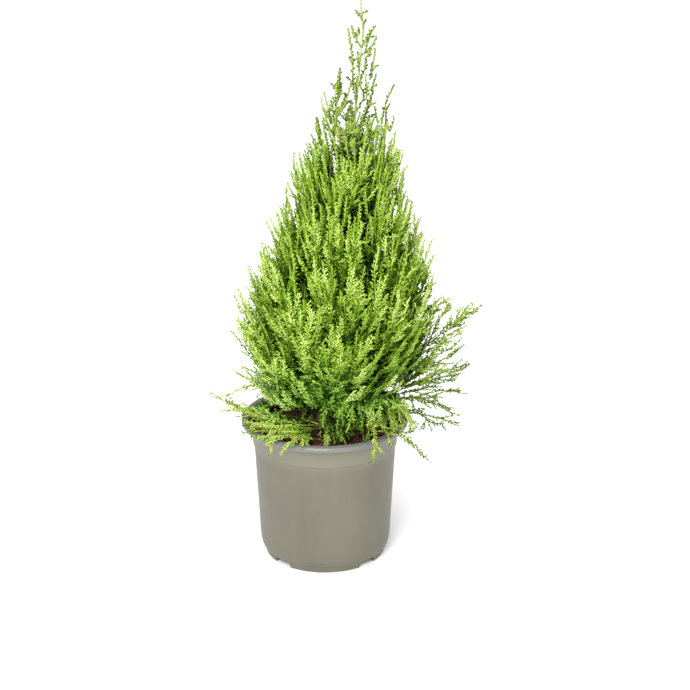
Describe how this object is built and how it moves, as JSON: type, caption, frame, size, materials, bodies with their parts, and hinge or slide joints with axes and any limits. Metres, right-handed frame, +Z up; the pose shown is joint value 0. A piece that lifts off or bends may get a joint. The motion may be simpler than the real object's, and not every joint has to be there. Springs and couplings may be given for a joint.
{
  "type": "potted cypress",
  "caption": "Young golden cypress with upswept feathery sprays and low sprays over the rim, in a round moulded plastic nursery pot.",
  "frame": {"origin": "middle of the pot's flat underside, which stands on the ground", "axes": "+Z up the plant, +X to the side that the trunk leans to and the long spray points to, -Y the front"},
  "size_m": [0.3079, 0.2275, 0.64],
  "materials": {
    "pot": "satin moulded",
    "growing_medium": "loose bark mulch",
    "bark": "rough bark",
    "foliage": "matt foliage"
  },
  "bodies": {
    "root": {"crest_mass_1": "foliage", "crest_mass_2": "foliage", "crest_mass_3": "foliage", "growing_medium": "growing_medium", "leader_mass": "foliage", "long_spray_bough": "bark", "long_spray_mass": "foliage", "low_back_bough": "bark", "low_back_mass": "foliage", "low_front_bough": "bark", "low_front_mass": "foliage", "low_left_back_bough": "bark", "low_left_back_mass": "foliage", "low_left_bough": "bark", "low_left_mass": "foliage", "low_right_back_bough": "bark", "low_right_back_mass": "foliage", "low_right_bough": "bark", "low_right_front_bough": "bark", "low_right_front_mass": "foliage", "low_right_mass": "foliage", "lower_mass_1": "foliage", "lower_mass_2": "foliage", "lower_mass_3": "foliage", "lower_mass_4": "foliage", "lower_mass_5": "foliage", "lower_mass_6": "foliage", "middle_mass_1": "foliage", "middle_mass_2": "foliage", "middle_mass_3": "foliage", "middle_mass_4": "foliage", "middle_mass_5": "foliage", "middle_mass_6": "foliage", "pot": "pot", "second_leader": "bark", "second_leader_mass": "foliage", "top_mass_1": "foliage", "top_mass_2": "foliage", "top_mass_3": "foliage", "trunk": "bark", "upper_mass_1": "foliage", "upper_mass_2": "foliage", "upper_mass_3": "foliage", "upper_mass_4": "foliage", "upper_mass_5": "foliage", "upper_middle_mass_1": "foliage", "upper_middle_mass_2": "foliage", "upper_middle_mass_3": "foliage", "upper_middle_mass_4": "foliage", "upper_middle_mass_5": "foliage"}
  },
  "joints": []
}
